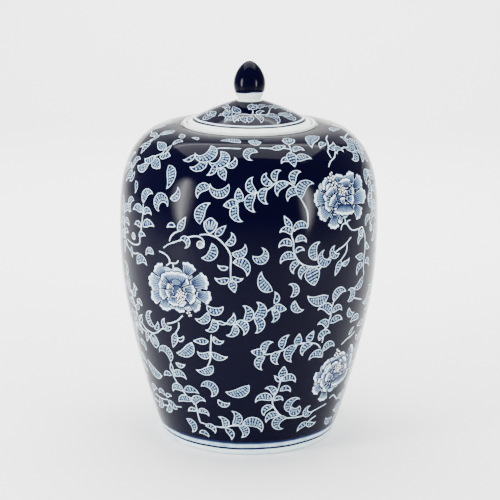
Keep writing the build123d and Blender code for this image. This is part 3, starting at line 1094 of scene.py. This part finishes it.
def make_lid():
    """The lid: edge band, painted dome, crown and underside, with a bare flange."""
    section = Section(meridian("lid"))
    outer_radius = section.points[:, 0].max()
    edge = section.where(lambda r, z: r > outer_radius - NEAR and z > SEAT_HEIGHT + 1)
    knob = section.where(lambda r, z: z > CROWN_HEIGHT - NEAR)
    under = section.where(lambda r, z: abs(z - SEAT_HEIGHT) < NEAR and r < outer_radius - 1)
    shell = Shell(section)
    shell.plain(0, edge, WHITE)
    ground = banded(shell, edge, LID_BANDS, LID_WAVES)
    painting = Painting(section, 0, ground, knob, LID_BRUSH)
    table = np.linspace(ground, knob, LID_TABLE_ROWS)
    radius = section.sample(table)[0][:, 0]

    def place(x, y, turn):
        degrees = math.degrees(math.atan2(x, -y)) + turn
        return degrees, float(np.interp(-math.hypot(x, y), -radius, table))

    for turn in LID_REPEATS:
        for stem in LID_STEMS:
            stroke(painting, [place(x, y, turn) for x, y in stem])
        for kind, x, y, end_x, end_y, *rise in LID_LEAVES:
            leaf(painting, kind, *place(x, y, turn), *place(end_x, end_y, turn), *rise)
    shell.field(painting)
    shell.plain(knob, under, WHITE)
    shell.plain(under, section.at[-1], WHITE, clay=1.0)
    return shell.build("glazed_lid")


def make_finial():
    """The finial: white foot, wavering glaze line and dark bud."""
    section = Section(meridian("lid_finial"))
    glaze = section.where(lambda r, z: z > GLAZE_LINE_HEIGHT and r > CAVITY_RADIUS)
    shell = Shell(section)
    first = FINIAL_BANDS[0][0]
    bands = [(at - first, cobalt) for at, cobalt in FINIAL_BANDS]
    shell.plain(0, glaze + first, WHITE)
    high = banded(shell, glaze + first, bands, FINIAL_WAVES)
    shell.plain(high, section.at[-1], GROUND)
    return shell.build("glazed_finial")


# ---------------------------------------------------------------- materials

COBALT_RAMP = [
    (0.00, (0.78, 0.83, 0.79)), (0.10, (0.52, 0.67, 0.76)), (0.17, (0.30, 0.45, 0.56)),
    (0.30, (0.14, 0.23, 0.33)), (0.50, (0.045, 0.076, 0.140)), (0.70, (0.012, 0.019, 0.056)),
    (0.86, (0.0035, 0.0035, 0.022)), (0.95, (0.0008, 0.0005, 0.0080)), (1.00, (0.0006, 0.0004, 0.0065)),
]
CLAY_RAMP = [(0.35, (0.30, 0.20, 0.13)), (0.65, (0.52, 0.40, 0.29))]
PAPER_RAMP = [(0.3, (0.90, 0.90, 0.90)), (0.7, (0.94, 0.94, 0.94))]

# Noise: scale, detail and roughness.
POOL_NOISE = (140.0, 4.0, 0.65)
GRAIN_NOISE = (900.0, 5.0, 0.7)
WEAR_NOISE = (30.0, 2.0, 0.5)
PEEL_NOISE = (260.0, 2.0, 0.4)
FIBRE_NOISE = (220.0, 3.0, 0.6)

MOTTLE = 0.16                # how far the cobalt pools and thins
FULL_COBALT = (0.8, 1.0)     # between these depths the pools fade
FULL_MOTTLE = 0.25           # share of the pools left in the full ground
GLAZE_ROUGHNESS = (0.07, 0.10)
GLAZE_IOR = 1.5
GLAZE_SPECULAR = 0.05
CLAY_ROUGHNESS = 0.7         # added to the glaze's where the clay is bare
CLAY_RELIEF = 3.0            # grain of the bare clay against the ripple of the glaze
RIPPLE_STRENGTH = 0.12
RIPPLE_DEPTH = 0.0002        # m
PAPER_ROUGHNESS = 0.7
PAPER_SPECULAR = 0.2


class Surface:
    """A new material and the nodes added to it."""

    def __init__(self, name):
        self.material = bpy.data.materials.new(name)
        self.material.use_nodes = True
        self.tree = self.material.node_tree
        self.shader = self.tree.nodes["Principled BSDF"]
        self.space = self.add("TexCoord", "Object", {})

    def add(self, kind, output, inputs, **settings):
        """A node whose inputs are numbers or outputs of other nodes; gives one of its outputs."""
        node = self.tree.nodes.new("ShaderNode" + kind)
        for name, value in settings.items():
            setattr(node, name, value)
        for key, value in inputs.items():
            if isinstance(value, float):
                node.inputs[key].default_value = value
            else:
                self.tree.links.new(value, node.inputs[key])
        return node.outputs[output]

    def maths(self, operation, first, second):
        return self.add("Math", 0, {0: first, 1: second}, operation=operation)

    def noise(self, scale, detail, roughness):
        inputs = {"Vector": self.space, "Scale": scale, "Detail": detail, "Roughness": roughness}
        return self.add("TexNoise", "Fac", inputs)

    def ramp(self, stops, share):
        """The colour at that share, between stops of (position, colour)."""
        colour = self.add("ValToRGB", "Color", {"Fac": share})
        elements = colour.node.color_ramp.elements
        for at, _ in stops[2:]:
            elements.new(at)
        for element, (at, shade) in zip(elements, sorted(stops)):
            element.position = at
            element.color = (*shade, 1)
        return colour

    def feed(self, **outputs):
        """Links outputs to the shader; an underscore stands for a space in a socket's name."""
        for key, value in outputs.items():
            self.tree.links.new(value, self.shader.inputs[key.replace("_", " ")])


def glaze_material(name):
    """Cobalt on a white body below a clear glossy glaze; bare clay where the glaze is wiped."""
    surface = Surface(name)
    maths = surface.maths
    paint = surface.add("Attribute", "Color", {}, attribute_name="paint")
    cobalt = surface.add("SeparateColor", "Red", {"Color": paint})
    clay = cobalt.node.outputs["Green"]

    pools = maths("SUBTRACT", surface.noise(*POOL_NOISE), 0.5)
    pools = maths("MULTIPLY", pools, MOTTLE * 2)
    span = {"Value": cobalt, "From Min": FULL_COBALT[0], "From Max": FULL_COBALT[1]}
    settled = surface.add("MapRange", "Result", {**span, "To Min": 1.0, "To Max": FULL_MOTTLE})
    depth = maths("ADD", cobalt, maths("MULTIPLY", pools, settled))
    grain = surface.noise(*GRAIN_NOISE)
    layers = {"Factor": clay, "A": surface.ramp(COBALT_RAMP, depth), "B": surface.ramp(CLAY_RAMP, grain)}
    colour = surface.add("Mix", "Result", layers, data_type="RGBA")

    wear = {"Value": surface.noise(*WEAR_NOISE)}
    wear.update({"To Min": GLAZE_ROUGHNESS[0], "To Max": GLAZE_ROUGHNESS[1]})
    gloss = surface.add("MapRange", "Result", wear)
    roughness = maths("ADD", gloss, maths("MULTIPLY", clay, CLAY_ROUGHNESS))

    relief = maths("MULTIPLY", maths("MULTIPLY", grain, clay), CLAY_RELIEF)
    ripple = {"Height": maths("ADD", surface.noise(*PEEL_NOISE), relief)}
    ripple.update({"Strength": RIPPLE_STRENGTH, "Distance": RIPPLE_DEPTH})
    surface.feed(Base_Color=colour, Roughness=roughness, Normal=surface.add("Bump", "Normal", ripple))
    surface.shader.inputs["IOR"].default_value = GLAZE_IOR
    surface.shader.inputs["Specular IOR Level"].default_value = GLAZE_SPECULAR
    return surface.material


def floor_material():
    """Matt studio paper with a faint fibre."""
    surface = Surface("studio_paper")
    surface.feed(Base_Color=surface.ramp(PAPER_RAMP, surface.noise(*FIBRE_NOISE)))
    surface.shader.inputs["Roughness"].default_value = PAPER_ROUGHNESS
    surface.shader.inputs["Specular IOR Level"].default_value = PAPER_SPECULAR
    return surface.material


# ---------------------------------------------------------------- studio

# The paper sweep, in metres.
SWEEP_HALF_WIDTH = 5.0
SWEEP_FRONT = -5.0
SWEEP_BACK = 1.5             # where the floor begins to curve up
SWEEP_BEND = 0.5             # radius of the curve
SWEEP_TOP = 0.6
SWEEP_STEPS = 12

# Softboxes that fade out to their edges: name, place, width and height in metres, radiance.
GLOWS = [
    ("soft_left", (-0.72, -0.45, 0.34), 0.42, 0.68, 180),
    ("soft_right", (0.655, -0.55, 0.31), 0.30, 0.60, 165),
]
GLOW_RINGS = 8
GLOW_GAP = 0.01              # m between two rings

# Plain softboxes: name, place, what they point at, width and height in metres, watts.
SOFTBOXES = [
    ("soft_top", (0.0, 0.3, 1.6), (0.0, 0.3, 0.0), 2.2, 1.3, 82),
    ("soft_back", (0.0, 0.6, 1.3), (0.0, 1.6, 0.6), 1.6, 0.7, 72),
    ("soft_rear", (0.0, 1.9, 1.5), (0.0, 0.0, 0.27), 3.0, 1.9, 19),
]
ROOM_LIGHT = 0.5

# The camera, in metres, degrees and mm of lens.
CAMERA_DISTANCE = 1.350
CAMERA_HEIGHT = 0.5064
CAMERA_DOWN = 14.44
CAMERA_ROLL = 0.34
CAMERA_LENS = 117.18
CAMERA_SENSOR = 36.0
CAMERA_SHIFT = 0.0029        # of the picture's width


def make_sweep():
    """Pale paper floor that curves up into a backdrop."""
    profile = [(SWEEP_FRONT, 0.0), (0.0, 0.0), (SWEEP_BACK, 0.0)]
    for step in range(1, SWEEP_STEPS + 1):
        turn = math.pi / 2 * step / SWEEP_STEPS
        rise = SWEEP_BEND - SWEEP_BEND * math.cos(turn)
        profile.append((SWEEP_BACK + SWEEP_BEND * math.sin(turn), rise))
    profile.append((SWEEP_BACK + SWEEP_BEND, SWEEP_TOP))
    sides = (-SWEEP_HALF_WIDTH, SWEEP_HALF_WIDTH)
    vertices = [(x, y, z) for y, z in profile for x in sides]
    faces = [(2 * i, 2 * i + 1, 2 * i + 3, 2 * i + 2) for i in range(len(profile) - 1)]
    mesh = bpy.data.meshes.new("studio_sweep")
    mesh.from_pydata(vertices, [], faces)
    for face in mesh.polygons:
        face.use_smooth = True
    sweep = bpy.data.objects.new("studio_sweep", mesh)
    bpy.context.scene.collection.objects.link(sweep)
    mesh.materials.append(floor_material())


def softbox(name, place, aim, width, height, power, shape="RECTANGLE"):
    """An area light of that power in watts at place, pointed at aim."""
    light = bpy.data.lights.new(name, "AREA")
    light.shape = shape
    light.size = width
    light.size_y = height
    light.energy = power
    lamp = bpy.data.objects.new(name, light)
    lamp.location = place
    lamp.rotation_euler = (Vector(aim) - Vector(place)).to_track_quat("-Z", "Y").to_euler()
    bpy.context.scene.collection.objects.link(lamp)


def glow(name, place, aim, width, height, radiance):
    """A tall softbox that fades out to its edges: ovals one behind the other, brightest inside."""
    place = Vector(place)
    back = (place - Vector(aim)).normalized() * GLOW_GAP
    weights = range(GLOW_RINGS, 0, -1)
    for ring, weight in enumerate(weights):
        share = (ring + 1) / GLOW_RINGS
        across, tall = width * share, height * (0.6 + 0.4 * share)
        power = radiance * weight / sum(weights) * across * tall
        softbox(f"{name}_{ring}", place + back * ring, aim, across, tall, power, "ELLIPSE")


def make_lights(middle):
    """The softboxes, the glowing ones pointed at middle, and the even light of the room."""
    for name, place, width, height, radiance in GLOWS:
        glow(name, place, middle, width, height, radiance)
    for light in SOFTBOXES:
        softbox(*light)
    world = bpy.data.worlds.new("studio")
    world.use_nodes = True
    background = world.node_tree.nodes["Background"]
    background.inputs["Color"].default_value = (1, 1, 1, 1)
    background.inputs["Strength"].default_value = ROOM_LIGHT
    bpy.context.scene.world = world


def make_camera():
    """A long lens a little above the jar, looking slightly down on its front."""
    camera = bpy.data.cameras.new("camera")
    camera.sensor_width = CAMERA_SENSOR
    camera.lens = CAMERA_LENS
    camera.shift_x = CAMERA_SHIFT
    viewer = bpy.data.objects.new("camera", camera)
    tilt = Matrix.Rotation(math.pi / 2 - math.radians(CAMERA_DOWN), 4, "X")
    roll = Matrix.Rotation(math.radians(CAMERA_ROLL), 4, "Z")
    place = Matrix.Translation((0, -CAMERA_DISTANCE, CAMERA_HEIGHT))
    viewer.matrix_world = place @ (tilt @ roll)
    bpy.context.scene.collection.objects.link(viewer)
    bpy.context.scene.camera = viewer


# ---------------------------------------------------------------- assembly

PIECES = [
    (make_jar, "jar_body", "jar", "cobalt_glaze"),
    (make_lid, "lid", "lid", "lid_glaze"),
    (make_finial, "lid_finial", "lid", "finial_glaze"),
]

for make, node, body, slot in PIECES:
    piece = make()
    material = glaze_material(slot)
    piece.data.materials.append(material)
    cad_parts[node].data.materials.clear()
    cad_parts[node].data.materials.append(material)
    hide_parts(node)
    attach(piece, body)

low, high = cad_box
make_sweep()
make_lights((low + high) / 2)
make_camera()
